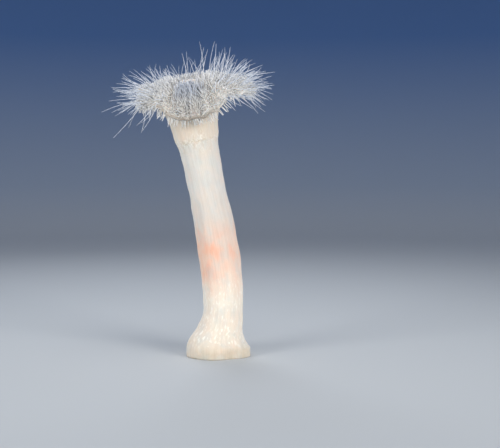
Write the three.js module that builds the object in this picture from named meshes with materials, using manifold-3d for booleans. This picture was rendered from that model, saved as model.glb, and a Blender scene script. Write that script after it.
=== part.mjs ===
// A plumose sea anemone as a still, life-size model: foot, column, collar and a lobed crown of
// tentacles round the mouth.  Millimetres, +Z up, the sole of the foot on z = 0, the front at -Y.
//
// The column is a spine of stations.  The crown is one surface, the oral disc, given by a turn
// about the crown's axis (angle) and a way out from the mouth (t, 0 at the mouth to 1 at the
// margin).  Each lobe reaches out and droops by its own amount, and sharp folds part the lobes.
// Below the disc the flesh runs down to the top of the column.

import * as THREE from 'three';
import { mergeVertices } from 'three/addons/utils/BufferGeometryUtils.js';
import Module from 'manifold-3d';

const wasm = await Module();
wasm.setup();

const rad = THREE.MathUtils.degToRad;
const { lerp, smoothstep } = THREE.MathUtils;

// ---------------------------------------------------------------- driving dimensions

const GAP = 0.3;              // clear space between two pieces of flesh
const AROUND = 32;            // facets round the column
const SECTOR_AROUND = 5;      // facets round each sector of the crown

// The crown: the middle of the oral disc, and how far its axis leans out of the upright.
const CROWN = new THREE.Vector3(-15.6, -7, 150);
const LEAN_LEFT = rad(9);
const LEAN_FORWARD = rad(8);
const COLLAR_TOP = -29;       // along the crown's axis, from the middle of the disc
const COLLAR_RADIUS = 12.3;
const COLLAR_BAND = 0.4;      // how far the collar stands out from the column
const PAST_COLLAR = { up: 8, wider: 1.5 };   // the station after the collar, which steers its end

// The column from the sole up: the middle of each station, and its radius.
const STATIONS = [
  { x: 0.5, y: 0, z: 0, radius: 17.3 },
  { x: 0.6, y: 0, z: 6.5, radius: 16.8 },
  { x: 1.5, y: 0, z: 13, radius: 13.0 },
  { x: 3.2, y: 0, z: 22, radius: 11.1 },
  { x: 3.4, y: 0, z: 31, radius: 11.1 },
  { x: 2.75, y: 0, z: 42, radius: 11.3 },
  { x: 0.8, y: 0, z: 58, radius: 11.3 },
  { x: -2.0, y: -0.2, z: 75, radius: 10.9 },
  { x: -4.9, y: -0.9, z: 90, radius: 10.2 },
  { x: -7.8, y: -1.8, z: 105, radius: 10.3 },
  { x: -9.8, y: -2.5, z: 115.5, radius: 11.0 },
];
const COLLAR_STATION = STATIONS.length;
const STATION_SPACING = 8.5;  // about what one station measures along the column
const FOOT_LOBES = [{ count: 3, depth: 0.05, turn: 0.6 }, { count: 5, depth: 0.035, turn: 2.1 }];
const FOOT_HEIGHT = 16;       // where the foot's lobes have faded out

// The lengths that the column is divided into, as stations along it.
const COLUMN_PIECES = [
  { name: 'pedal_disc', from: 0, to: 1.35, rings: 3 },
  { name: 'column_lower', from: 1.35, to: 4.9, rings: 6 },
  { name: 'column_middle', from: 4.9, to: 7.4, rings: 4 },
  { name: 'column_upper', from: 7.4, to: 9.9, rings: 4 },
  { name: 'collar', from: 9.9, to: 11, rings: 4 },
];

// The lobes of the disc: the angle of each from the right, counted by way of the back, its
// reach along the disc from the mouth, how far it has bent down at its margin, how high the
// flesh under it rises before it flares out, and how long its tentacles are near the mouth
// (inner) and at the margin (outer).
const LOBES = [
  { name: 'rear_right', angle: 55, reach: 31, droop: 16, rise: 12, inner: 20, outer: 14, sectors: 2 },
  { name: 'rear_left', angle: 125, reach: 31, droop: 20, rise: 9, inner: 13, outer: 13, sectors: 2 },
  { name: 'left', angle: 200, reach: 28.5, droop: 28, rise: 7, inner: 14, outer: 19, sectors: 2 },
  { name: 'front', angle: 270, reach: 30, droop: 81, rise: 16, inner: 10, outer: 5, sectors: 3 },
  { name: 'right', angle: 345, reach: 36, droop: 28, rise: 15, inner: 24, outer: 15, sectors: 2 },
];
// The folds between the lobes, where the margin droops less and draws in.
const FOLDS = [
  { angle: 20, width: 12, droop: 8, draw: 0.08 },
  { angle: 90, width: 12, droop: 8, draw: 0.08 },
  { angle: 160, width: 12, droop: -4, draw: 0.08 },
  { angle: 228, width: 9, droop: 32, draw: 0.06 },
  { angle: 318, width: 9, droop: 26, draw: 0.08 },
];

const MOUTH_EDGE = 0.16;      // t of the outer edge of the lips
const DISC_EDGE = 0.42;       // t where the lobes start
const SHELF_EDGE = 0.62;      // t where the flesh of the capitulum ends below the lobes
// The curve of the under side: how far it flares at the collar, the part of the reach over which
// it runs along the margin, how full it is there, and how it keeps pace with the disc above.
const UNDER = { flare: 0.6, along: 0.42, full: 1.6, ease: 0.75 };
const LIP = 1.4;              // thickness of the disc at its margin
const DISC_THICK = 4.4;       // thickness of the pieces of the disc
const SHELF_GAP = 0.5;        // clear space under the lobes, measured down their steep folds
const SHELF_RIM = 1.0;        // thickness of the capitulum's rim
const LIP_HEIGHT = 1.7;       // how far the lips stand up round the mouth
const PLEATS = 12;            // folds round the lips
const PLEAT_DEPTH = 0.14;     // of the lips' height
const THROAT_DEPTH = 1.2;     // how deep the mouth's opening goes

// The rows of tentacles, from the inside out: where each row stands, the space between
// tentacles along it, and the angle between tentacle and upright disc on a lobe that spreads
// (lay) and on one that hangs (hung).
const ROWS = [
  { t: 0.52, spacing: 7.6, lay: 14, hung: 2 },
  { t: 0.68, spacing: 7.4, lay: 28, hung: -4 },
  { t: 0.84, spacing: 6.6, lay: 48, hung: 0 },
  { t: 0.96, spacing: 7, lay: 70, hung: 24 },
  { t: 1, spacing: 8.8, lay: 98, hung: 98 },
];
const INNER_ROWS = 0.45;      // t from which the inner tentacles' length starts to give way
const HUNG_DROOP = [45, 75];  // the droop from which a lobe counts as hanging, and wholly so
const OUTERMOST_ROOT = 0.97;  // t of the last roots, so that they stay inside the margin
const TENTACLE_ROOT = 0.85;   // radius at the root
const TENTACLE_TIP = 0.42;    // radius near the tip
const TIP_START = 0.96;       // where along the tentacle its tip rounds off
const TENTACLE_SIDES = 4;
const TENTACLE_DEPTH = 1.1;   // how deep the root sits in the disc
// How tentacles differ: parts of their own length, and degrees of lay.  SWAY bends their tips out
// or in (inward is the chance of in) and round the crown.
const VARIES = { length: 0.24, place: 0.3, lay: 16, aside: 0.24 };
const SWAY = { out: 0.22, inward: 0.35, round: 0.3 };

const FLESH = {
  cream: 0xe8dfd3, pink: 0xf2cdb8, disc: 0xdccbc0, lip: 0xf3e6cf, tentacle: 0xe3e4ea,
};
const WET = 0.4;              // roughness of wet flesh
const SMALL = 0.01;           // step for working out a direction along the disc
const ROUNDING = 1e-6;        // keeps a place on a sector's edge in that sector

// ---------------------------------------------------------------- the form

const RIGHT = new THREE.Vector3(1, 0, 0);

// Two directions square to an axis: across (as near the right as it can be) and away.
function frameOf(axis) {
  const across = RIGHT.clone().addScaledVector(axis, -axis.dot(RIGHT)).normalize();
  return { across, away: axis.clone().cross(across), axis };
}

const CROWN_FRAME = frameOf(new THREE.Vector3(
  -Math.sin(LEAN_LEFT), -Math.sin(LEAN_FORWARD), Math.cos(LEAN_LEFT)).normalize());

function crownToWorld(out, up, angle) {
  return CROWN.clone()
    .addScaledVector(CROWN_FRAME.across, out * Math.cos(angle))
    .addScaledVector(CROWN_FRAME.away, out * Math.sin(angle))
    .addScaledVector(CROWN_FRAME.axis, up);
}

// The column's spine ends on the crown's axis, so the last ring lies square to it.
const collarTop = crownToWorld(0, COLLAR_TOP - GAP, 0);
const pastCollar = crownToWorld(0, COLLAR_TOP + PAST_COLLAR.up, 0);
const spineStations = [
  ...STATIONS,
  { ...collarTop, radius: COLLAR_RADIUS },
  { ...pastCollar, radius: COLLAR_RADIUS + PAST_COLLAR.wider },
];
const spine = new THREE.CatmullRomCurve3(
  spineStations.map((s) => new THREE.Vector3(s.x, s.y, s.z)), false, 'catmullrom');
const girth = new THREE.CatmullRomCurve3(
  spineStations.map((s) => new THREE.Vector3(s.radius, 0, 0)), false, 'catmullrom');

function footLobes(angle, height) {
  const fade = 1 - smoothstep(height, 0, FOOT_HEIGHT);
  const wave = FOOT_LOBES.reduce((sum, l) => sum + l.depth * Math.cos(l.count * angle + l.turn), 0);
  return 1 + fade * wave;
}

// A point of the column: at a station, at an angle, and from 0 on its spine to 1 on its skin.
function columnPoint(station, angle, part, band = 0) {
  const u = station / (spineStations.length - 1);
  const middle = spine.getPoint(u);
  const upright = new THREE.Vector3(0, 0, 1);
  const level = upright.lerp(spine.getTangent(u), smoothstep(station, 0, 1))
    .lerp(CROWN_FRAME.axis, smoothstep(station, COLLAR_STATION - 1, COLLAR_STATION)).normalize();
  const frame = frameOf(level);
  const radius = part * (girth.getPoint(u).x + band) * footLobes(angle, middle.z);
  const point = middle
    .addScaledVector(frame.across, radius * Math.cos(angle))
    .addScaledVector(frame.away, radius * Math.sin(angle));
  point.z = Math.max(point.z, 0);
  return point;
}

function turnBetween(a, b) {
  return THREE.MathUtils.euclideanModulo(a - b + 180, 360) - 180;
}

// Each lobe spans from the fold before it to the fold after it, in equal sectors.
const SECTORS = LOBES.flatMap((lobe) => {
  const turns = FOLDS.map((fold) => turnBetween(fold.angle, lobe.angle));
  const start = lobe.angle + Math.max(...turns.filter((turn) => turn < 0));
  const end = lobe.angle + Math.min(...turns.filter((turn) => turn > 0));
  return Array.from({ length: lobe.sectors }, (_, i) => ({
    name: `${lobe.name}_lobe_${i + 1}`,
    from: rad(lerp(start, end, i / lobe.sectors)),
    to: rad(lerp(start, end, (i + 1) / lobe.sectors)),
  }));
});
const CROWN_AROUND = SECTORS.length * SECTOR_AROUND;

// The pieces turned round the crown have their facets in line with the sectors' own.
function sectorAngle(turn) {
  const place = THREE.MathUtils.euclideanModulo(turn / (2 * Math.PI), 1) * SECTORS.length;
  const number = Math.floor(place + ROUNDING);
  const sector = SECTORS[number % SECTORS.length];
  return lerp(sector.from, sector.to, Math.max(place - number, 0));
}

// The lobes' sizes at any angle in degrees: eased from lobe to lobe, then folded.
function crownShape(degrees) {
  const turn = THREE.MathUtils.euclideanModulo(degrees, 360);
  const after = LOBES.findIndex((l) => l.angle > turn);
  const next = LOBES[after < 0 ? 0 : after];
  const last = LOBES[after <= 0 ? LOBES.length - 1 : after - 1];
  const span = THREE.MathUtils.euclideanModulo(next.angle - last.angle, 360);
  const way = THREE.MathUtils.euclideanModulo(turn - last.angle, 360) / span;
  const ease = smoothstep(way, 0, 1);
  const shape = {
    reach: lerp(last.reach, next.reach, ease),
    droop: lerp(last.droop, next.droop, ease),
    rise: lerp(last.rise, next.rise, ease),
    inner: lerp(last.inner, next.inner, ease),
    outer: lerp(last.outer, next.outer, ease),
  };
  for (const fold of FOLDS) {
    const near = Math.exp(-((turnBetween(turn, fold.angle) / fold.width) ** 2));
    shape.droop = lerp(shape.droop, fold.droop, near);
    shape.reach *= 1 - fold.draw * near;
  }
  return shape;
}

// The disc's section at one angle is an arc: level at the mouth, bent down by the droop at its
// margin.  Below it a curve runs from the collar up under the disc to the margin.
function crownSection(angle) {
  const shape = crownShape(THREE.MathUtils.radToDeg(angle));
  const bend = rad(shape.droop);
  const upper = (t) => new THREE.Vector2(
    shape.reach * Math.sin(bend * t) / bend,
    -shape.reach * (1 - Math.cos(bend * t)) / bend);
  const margin = upper(1);
  const along = new THREE.Vector2(Math.cos(bend), -Math.sin(bend));
  const inward = new THREE.Vector2(-Math.sin(bend), -Math.cos(bend));
  const lipEdge = margin.clone().addScaledVector(inward, LIP);
  const under = new THREE.CubicBezierCurve(
    new THREE.Vector2(COLLAR_RADIUS, COLLAR_TOP),
    new THREE.Vector2(COLLAR_RADIUS + UNDER.flare, COLLAR_TOP + shape.rise),
    lipEdge.clone()
      .addScaledVector(along, -UNDER.along * shape.reach)
      .addScaledVector(inward, UNDER.full),
    lipEdge);
  const lower = (t) => (t <= DISC_EDGE
    ? new THREE.Vector2(COLLAR_RADIUS * t / DISC_EDGE, COLLAR_TOP)
    : under.getPoint(((t - DISC_EDGE) / (1 - DISC_EDGE)) ** UNDER.ease));
  return { upper, lower };
}

// A point of the crown's flesh: depth 0 is the disc's upper side, and Infinity its under side.
function crownPoint(angle, t, depth) {
  const section = crownSection(angle);
  const top = section.upper(t);
  const toBottom = section.lower(t).sub(top);
  const length = toBottom.length();
  top.addScaledVector(toBottom, Math.min(depth / length, 1));
  return crownToWorld(top.x, top.y, angle);
}

// How deep below the disc the capitulum's upper side lies.
function shelfDepth(angle, t) {
  const section = crownSection(angle);
  const whole = section.lower(t).distanceTo(section.upper(t));
  return Math.min(DISC_THICK + SHELF_GAP, whole - SHELF_RIM);
}

function discFrame(angle, t) {
  const origin = crownPoint(angle, t, 0);
  const out = crownPoint(angle, t + SMALL, 0).sub(crownPoint(angle, t - SMALL, 0)).normalize();
  const round = crownPoint(angle + SMALL, t, 0).sub(crownPoint(angle - SMALL, t, 0)).normalize();
  return { origin, out, round, up: out.clone().cross(round).normalize() };
}

// ---------------------------------------------------------------- making solids

function warp(geometry, place) {
  const at = geometry.attributes.position;
  const point = new THREE.Vector3();
  for (let i = 0; i < at.count; i += 1) {
    const moved = place(point.fromBufferAttribute(at, i));
    at.setXYZ(i, moved.x, moved.y, moved.z);
  }
  geometry.deleteAttribute('normal');
  geometry.deleteAttribute('uv');
  return mergeVertices(geometry, 1e-3);
}

function toSolid(geometry) {
  return new wasm.Manifold(new wasm.Mesh({
    numProp: 3,
    vertProperties: new Float32Array(geometry.attributes.position.array),
    triVerts: new Uint32Array(geometry.index.array),
  }));
}

function toGeometry(solid) {
  const mesh = solid.getMesh();
  const geometry = new THREE.BufferGeometry();
  geometry.setAttribute('position', new THREE.BufferAttribute(mesh.vertProperties, 3));
  geometry.setIndex(new THREE.BufferAttribute(mesh.triVerts, 1));
  return geometry;
}

function meshOf(name, geometry, color) {
  geometry.computeVertexNormals();
  const material = new THREE.MeshStandardMaterial({ color, roughness: WET, metalness: 0 });
  const mesh = new THREE.Mesh(geometry, material);
  mesh.name = name;
  return mesh;
}

// A turned shape has its axis along Y; these give the angle about it and the way out from it.
const turnOf = (p) => Math.atan2(-p.z, p.x);
const outOf = (p) => Math.hypot(p.x, p.z);

// ---------------------------------------------------------------- foot, column and collar

function columnPiece(piece) {
  const tube = new THREE.CylinderGeometry(1, 1, 1, AROUND, piece.rings);
  const start = piece.from === 0 ? 0 : piece.from + GAP / STATION_SPACING;
  return warp(tube, (p) => {
    const way = p.y + 0.5;
    const station = lerp(start, piece.to, way);
    const band = piece.name === 'collar' ? COLLAR_BAND * Math.sin(Math.PI * way) : 0;
    return columnPoint(station, turnOf(p), outOf(p), band);
  });
}

// ---------------------------------------------------------------- capitulum, disc and mouth

// The capitulum carries the disc: its outside flares from the collar, and its upper side is the
// shelf on which the lobes, the disc and the mouth lie.
function capitulum() {
  const edges = [];
  const steps = 2;
  for (let i = 0; i <= steps; i += 1) edges.push(lerp(DISC_EDGE, SHELF_EDGE, i / steps));
  const profile = [
    new THREE.Vector2(0, 0),
    ...edges.map((t) => new THREE.Vector2(t, 0)),
    ...edges.reverse().map((t) => new THREE.Vector2(t, 1)),
    new THREE.Vector2(MOUTH_EDGE, 1),
    new THREE.Vector2(0, 1),
  ];
  return warp(new THREE.LatheGeometry(profile, CROWN_AROUND), (p) => {
    const angle = sectorAngle(turnOf(p));
    const t = outOf(p);
    return crownPoint(angle, t, p.y > 0.5 ? shelfDepth(angle, t) : Infinity);
  });
}

// The plain ring of disc between the lips and the lobes.
function oralDisc() {
  const inner = MOUTH_EDGE + GAP / LOBES[0].reach;
  const profile = [
    new THREE.Vector2(inner, 0),
    new THREE.Vector2(DISC_EDGE, 0),
    new THREE.Vector2(DISC_EDGE, 1),
    new THREE.Vector2(inner, 1),
    new THREE.Vector2(inner, 0),
  ];
  return warp(new THREE.LatheGeometry(profile, CROWN_AROUND), (p) => {
    const angle = sectorAngle(turnOf(p));
    return crownPoint(angle, outOf(p), p.y > 0.5 ? 0 : DISC_THICK);
  });
}

// The lips: a pleated ring that stands up round the mouth's opening.
function mouth() {
  const profile = [
    { t: 0, depth: DISC_THICK },
    { t: MOUTH_EDGE, depth: DISC_THICK },
    { t: MOUTH_EDGE, depth: 0 },
    { t: MOUTH_EDGE * 0.8, depth: -0.75 * LIP_HEIGHT },
    { t: MOUTH_EDGE * 0.55, depth: -LIP_HEIGHT },
    { t: MOUTH_EDGE * 0.3, depth: -0.5 * LIP_HEIGHT },
    { t: 0, depth: THROAT_DEPTH },
  ];
  const points = profile.map((p) => new THREE.Vector2(p.t, p.depth));
  return warp(new THREE.LatheGeometry(points, 2 * PLEATS), (p) => {
    const angle = turnOf(p);
    const pleat = p.y < 0 ? 1 + PLEAT_DEPTH * Math.cos(PLEATS * angle) : 1;
    return crownPoint(angle, outOf(p), p.y * pleat);
  });
}

// ---------------------------------------------------------------- lobes and tentacles

// One sector of a lobe: the slab of disc between two angles, from the plain disc to the margin.
function slab(fromAngle, toAngle) {
  const gap = GAP / LOBES[0].reach;
  const inner = [0, 1, 2].map((i) => lerp(DISC_EDGE + gap, SHELF_EDGE + gap, i / 2));
  const outer = [0, 1, 2, 3].map((i) => lerp(SHELF_EDGE + 4 * gap, 1, i / 3));
  const lines = [...inner, ...outer];
  const block = new THREE.BoxGeometry(1, 1, 1, lines.length - 1, SECTOR_AROUND, 1);
  return warp(block, (p) => {
    const line = Math.round((p.x + 0.5) * (lines.length - 1));
    const t = lines[line];
    const halfGap = gap / 2 / t;
    const angle = lerp(fromAngle + halfGap, toAngle - halfGap, p.y + 0.5);
    const under = line < inner.length ? shelfDepth(angle, t) - SHELF_GAP : Infinity;
    return crownPoint(angle, t, p.z > 0 ? 0 : under);
  });
}

// Each tentacle has a seed, and each thing that differs about it has a draw of its own.
const SEED_STEPS = { sector: 31, row: 7, tentacle: 1.7 };
const DRAWS = { length: 0, place: 0.1, lay: 0.3, aside: 0.6, out: 0.8, round: 0.9 };

// A number from 0 to 1 that is the same each time for a seed and a draw.
function chance(seed, draw) {
  const wave = Math.sin((seed + DRAWS[draw]) * 12.9898) * 43758.5453;
  return wave - Math.floor(wave);
}

// Where one tentacle starts, and the gentle curve that it follows.
function tentaclePath(angle, row, seed) {
  const disc = discFrame(angle, Math.min(row.t, OUTERMOST_ROOT));
  const shape = crownShape(THREE.MathUtils.radToDeg(angle));
  const length = lerp(shape.inner, shape.outer, smoothstep(row.t, INNER_ROWS, 1))
    * (1 + VARIES.length * (chance(seed, 'length') - 0.5)) + TENTACLE_DEPTH;
  const droops = lerp(row.lay, row.hung, smoothstep(shape.droop, ...HUNG_DROOP));
  const lay = rad(droops + VARIES.lay * (chance(seed, 'lay') - 0.5));
  const aim = disc.up.clone().multiplyScalar(Math.cos(lay))
    .addScaledVector(disc.out, Math.sin(lay))
    .addScaledVector(disc.round, VARIES.aside * (chance(seed, 'aside') - 0.5))
    .normalize();
  const sway = disc.out.clone().multiplyScalar(SWAY.out * (chance(seed, 'out') - SWAY.inward))
    .addScaledVector(disc.round, SWAY.round * (chance(seed, 'round') - 0.5));
  const root = disc.origin.clone()
    .addScaledVector(disc.up, -TENTACLE_DEPTH * Math.cos(lay) - LIP / 2 * Math.sin(lay))
    .addScaledVector(disc.out, -TENTACLE_DEPTH * Math.sin(lay));
  const middle = root.clone().addScaledVector(aim, length / 2);
  const tip = root.clone().addScaledVector(aim, length).addScaledVector(sway, length);
  return new THREE.QuadraticBezierCurve3(root, middle, tip);
}

function tentacle(path) {
  const profile = [
    new THREE.Vector2(0, 0),
    new THREE.Vector2(TENTACLE_ROOT, 0),
    new THREE.Vector2(lerp(TENTACLE_ROOT, TENTACLE_TIP, 0.5), 0.5),
    new THREE.Vector2(TENTACLE_TIP, TIP_START),
    new THREE.Vector2(0, 1),
  ];
  return warp(new THREE.LatheGeometry(profile, TENTACLE_SIDES), (p) => {
    const frame = frameOf(path.getTangent(p.y));
    return path.getPoint(p.y)
      .addScaledVector(frame.across, p.x)
      .addScaledVector(frame.away, -p.z);
  });
}

const TRIED_POINTS = 8;       // along a tentacle, in looking for room
const grown = [];             // the tentacles so far: their sector and points along them

// A tentacle is left out where it would touch one of another sector.
function hasRoom(path, sector) {
  const clear = 2 * TENTACLE_ROOT + GAP;
  const points = path.getPoints(TRIED_POINTS);
  const crowded = grown.some((other) => other.sector !== sector
    && other.points.some((a) => points.some((b) => a.distanceTo(b) < clear)));
  if (!crowded) grown.push({ sector, points });
  return !crowded;
}

function lobeSector(name, fromAngle, toAngle, number, neighbours) {
  let solid = toSolid(slab(fromAngle, toAngle));
  ROWS.forEach((row, r) => {
    const middle = crownSection((fromAngle + toAngle) / 2).upper(row.t).x;
    const count = Math.max(1, Math.round((toAngle - fromAngle) * middle / row.spacing));
    for (let i = 0; i < count; i += 1) {
      const seed = number * SEED_STEPS.sector + r * SEED_STEPS.row + i * SEED_STEPS.tentacle;
      const place = (i + 0.5 + VARIES.place * (chance(seed, 'place') - 0.5)) / count;
      const path = tentaclePath(lerp(fromAngle, toAngle, place), row, seed);
      const piece = toSolid(tentacle(path));
      const blocked = neighbours.some((other) => piece.intersect(other).volume() > 0);
      if (!blocked && hasRoom(path, name)) solid = solid.add(piece);
    }
  });
  return toGeometry(solid);
}

// ---------------------------------------------------------------- the animal

const anemone = new THREE.Group();

for (const piece of COLUMN_PIECES) {
  const tone = piece.name === 'column_middle' ? FLESH.pink : FLESH.cream;
  anemone.add(meshOf(piece.name, columnPiece(piece), tone));
}
anemone.add(meshOf('capitulum', capitulum(), FLESH.cream));
anemone.add(meshOf('oral_disc', oralDisc(), FLESH.disc));
anemone.add(meshOf('mouth', mouth(), FLESH.lip));

const body = anemone.children.map((mesh) => toSolid(mesh.geometry));
const slabs = SECTORS.map((sector) => toSolid(slab(sector.from, sector.to)));
SECTORS.forEach((sector, i) => {
  const neighbours = [...body, ...slabs.filter((_, other) => other !== i)];
  const geometry = lobeSector(sector.name, sector.from, sector.to, i + 1, neighbours);
  anemone.add(meshOf(sector.name, geometry, FLESH.tentacle));
});

export default anemone;
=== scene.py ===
"""A plumose sea anemone as a still, life-size model: one skin from the sole of the foot to the
mouth, pleated lips, and a crown of fine tentacles in five lobes.

Lengths are in millimetres until a finished mesh is scaled to metres.  An angle goes round the
animal from the right (+X) by way of the back (+Y).  The crown is the oral disc seen as a surface:
t runs out from the mouth (0) to the margin (1).
"""

import math
import random
from collections import namedtuple
from functools import lru_cache

import bmesh
import bpy
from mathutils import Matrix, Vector, noise


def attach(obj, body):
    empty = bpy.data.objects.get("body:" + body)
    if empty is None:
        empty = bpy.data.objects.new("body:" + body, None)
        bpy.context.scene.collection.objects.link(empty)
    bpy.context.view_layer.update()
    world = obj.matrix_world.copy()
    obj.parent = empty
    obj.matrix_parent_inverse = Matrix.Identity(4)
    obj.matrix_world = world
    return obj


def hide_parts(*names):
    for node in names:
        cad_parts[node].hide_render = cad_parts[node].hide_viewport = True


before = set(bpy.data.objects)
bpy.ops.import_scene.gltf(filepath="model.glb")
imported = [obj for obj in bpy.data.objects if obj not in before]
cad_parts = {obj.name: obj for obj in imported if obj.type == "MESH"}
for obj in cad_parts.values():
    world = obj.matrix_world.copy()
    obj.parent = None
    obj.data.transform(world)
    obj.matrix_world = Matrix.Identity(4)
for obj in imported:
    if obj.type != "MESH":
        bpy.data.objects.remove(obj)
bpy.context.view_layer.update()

TO_METRES = 0.001
FULL_TURN = 2 * math.pi
WELD = 0.001  # vertices nearer than this become one
NEARBY = 0.01  # the step in station, angle or t from which a direction is taken
draw = random.Random(41)  # makes every random choice, so that each run makes the same ones

# ---------------------------------------------------------------- driving sizes of the solids

# The column from the sole up: the middle of each station and its radius.
STATIONS = [
    (0.5, 0, 0, 17.3),
    (0.6, 0, 6.5, 16.8),
    (1.5, 0, 13, 13.0),
    (3.2, 0, 22, 11.1),
    (3.4, 0, 31, 11.1),
    (2.75, 0, 42, 11.3),
    (0.8, 0, 58, 11.3),
    (-2.0, -0.2, 75, 10.9),
    (-4.9, -0.9, 90, 10.2),
    (-7.8, -1.8, 105, 10.3),
    (-9.8, -2.5, 115.5, 11.0),
]
COLLAR_STATION = len(STATIONS)
FOOT_LOBES = [(3, 0.05, 0.6), (5, 0.035, 2.1)]  # count, depth and turn of the foot's lobes
FOOT_HEIGHT = 16  # where the lobes have faded out

# The crown: the middle of the oral disc, and how far its axis leans out of the upright.
CROWN_MIDDLE = Vector((-15.6, -7, 150))
LEAN_LEFT = math.radians(9)
LEAN_FORWARD = math.radians(8)
COLLAR_TOP = -29.3  # along the crown's axis, from the middle of the disc
COLLAR_RADIUS = 12.3
PAST_COLLAR = 8  # how much further up the column's guide line ends, and
PAST_COLLAR_WIDER = 1.5  # how much wider it is there

# The lobes: angle, reach from the mouth, droop at the margin, and rise of the flesh below before
# it flares out.  Then their tentacles: how long the long ones are near the mouth and at the
# margin, how long the short ones near the mouth are, and the share of long ones near the mouth
# and at the margin.
Lobe = namedtuple("Lobe", "angle reach droop rise inner outer short few many")
LOBES = {
    "rear_right": Lobe(55, 31, 16, 12, 21.5, 14.5, 3.4, 0.03, 0.045),
    "rear_left": Lobe(125, 31, 20, 9, 14.0, 13.5, 3.4, 0.035, 0.05),
    "left": Lobe(200, 28.5, 28, 7, 14.0, 19.0, 4.2, 0.03, 0.09),
    "front": Lobe(270, 30, 81, 16, 10.0, 5.0, 3.8, 0.01, 0.015),
    "right": Lobe(345, 36, 28, 15, 26.0, 15.0, 4.0, 0.012, 0.1),
}
# The folds between the lobes: angle, width, droop there and how far the margin draws in.
FOLDS = [
    (20, 12, 8, 0.08),
    (90, 12, 8, 0.08),
    (160, 12, -4, 0.08),
    (228, 9, 32, 0.06),
    (318, 9, 26, 0.08),
]
SECTORS = {"rear_right": 2, "rear_left": 2, "left": 2, "front": 3, "right": 2}
DISC_EDGE = 0.42  # t where the lobes start, and the flesh below leaves the column
# The flesh below a lobe: how far it has flared out at the top of its rise, how far in from the
# margin its curve is led, as a part of the reach, how full it is there, and how its rows are
# eased towards the margin.
UNDER_FLARE, UNDER_ALONG, UNDER_FULL, UNDER_EASE = 0.6, 0.42, 1.6, 0.75
LIP = 1.4  # thickness of the disc at its margin
LEAST_BEND = 1e-4  # keeps the section's arc from dividing by nothing
MOUTH_EDGE = 0.16  # t of the outer edge of the lips

# ---------------------------------------------------------------- the animal's form


def smooth(x, low, high):
    """0 below low, 1 above high, and an even S between."""
    w = min(max((x - low) / (high - low), 0), 1)
    return w * w * (3 - 2 * w)


def mix(a, b, w):
    return a + (b - a) * w


def bell(x, middle, width):
    return math.exp(-(((x - middle) / width) ** 2))


def on_curve(points, w):
    """The place at w on the curve that four points lead."""
    a, b, c, d = points
    v = 1 - w
    return a * v**3 + b * 3 * v * v * w + c * 3 * v * w * w + d * w**3


def axes_of(axis):
    """Two directions square to an axis: across, as near the right as it can be, and away."""
    right = Vector((1, 0, 0))
    across = (right - axis * axis.dot(right)).normalized()
    return across, axis.cross(across)


CROWN_AXIS = Vector((-math.sin(LEAN_LEFT), -math.sin(LEAN_FORWARD), math.cos(LEAN_LEFT)))
CROWN_AXIS.normalize()
CROWN_ACROSS, CROWN_AWAY = axes_of(CROWN_AXIS)


def crown_to_world(out, up, angle):
    way = CROWN_ACROSS * math.cos(angle) + CROWN_AWAY * math.sin(angle)
    return CROWN_MIDDLE + way * out + CROWN_AXIS * up


GUIDE = [Vector(station) for station in STATIONS]
GUIDE.append(Vector((*crown_to_world(0, COLLAR_TOP, 0), COLLAR_RADIUS)))
GUIDE.append(
    Vector((*crown_to_world(0, COLLAR_TOP + PAST_COLLAR, 0), COLLAR_RADIUS + PAST_COLLAR_WIDER))
)


def guide_at(station):
    """Middle and radius of the column at a station, on a smooth curve through all of them."""
    i = min(int(station), len(GUIDE) - 2)
    w = station - i
    start, end = GUIDE[i], GUIDE[i + 1]
    before = GUIDE[i - 1] if i > 0 else 2 * start - end
    after = GUIDE[i + 2] if i + 2 < len(GUIDE) else 2 * end - start
    leaving, arriving = (end - before) / 2, (after - start) / 2
    return (
        (2 * start - 2 * end + leaving + arriving) * w**3
        + (3 * end - 3 * start - 2 * leaving - arriving) * w**2
        + leaving * w
        + start
    )


@lru_cache(maxsize=None)
def column_ring(station):
    """Middle, two directions across and radius of the column at a station."""
    here = guide_at(station)
    tangent = (guide_at(station + NEARBY) - guide_at(max(station - NEARBY, 0))).xyz.normalized()
    level = Vector((0, 0, 1)).lerp(tangent, smooth(station, 0, 1))
    level = level.lerp(CROWN_AXIS, smooth(station, COLLAR_STATION - 1, COLLAR_STATION)).normalized()
    return here.xyz, *axes_of(level), here.w


def foot_lobes(angle, height):
    wave = sum(depth * math.cos(count * angle + turn) for count, depth, turn in FOOT_LOBES)
    return 1 + wave * (1 - smooth(height, 0, FOOT_HEIGHT))


def column_point(station, angle, part=1.0):
    """A point at a part of the way from the column's middle to its outside."""
    middle, across, away, radius = column_ring(station)
    reach = part * radius * foot_lobes(angle, middle.z)
    point = middle + (across * math.cos(angle) + away * math.sin(angle)) * reach
    point.z = max(point.z, 0)
    return point


def turn_between(a, b):
    return (a - b + 180) % 360 - 180


# Small waves that ruffle the margin between the great folds: count, turn and degrees of droop.
RUFFLES = [(19, 0.4, 2.6), (31, 2.2, 1.7), (12, 4.0, 2.2)]


@lru_cache(maxsize=None)
def lobe_shape(degrees):
    """The crown's sizes at an angle: eased from lobe to lobe, then folded and ruffled."""
    lobes = sorted(LOBES.values())
    turn = degrees % 360
    following = next((i for i, lobe in enumerate(lobes) if lobe.angle > turn), 0)
    last, coming = lobes[following - 1], lobes[following]
    span = (coming.angle - last.angle) % 360
    ease = smooth(((turn - last.angle) % 360) / span, 0, 1)
    shape = Lobe(*(mix(a, b, ease) for a, b in zip(last, coming)))
    reach, droop = shape.reach, shape.droop
    for angle, width, fold_droop, drawn_in in FOLDS:
        near = bell(turn_between(turn, angle), 0, width)
        droop = mix(droop, fold_droop, near)
        reach *= 1 - drawn_in * near
    angle = math.radians(turn)
    droop += sum(size * math.sin(count * angle + phase) for count, phase, size in RUFFLES)
    return shape._replace(reach=reach, droop=droop)


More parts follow.
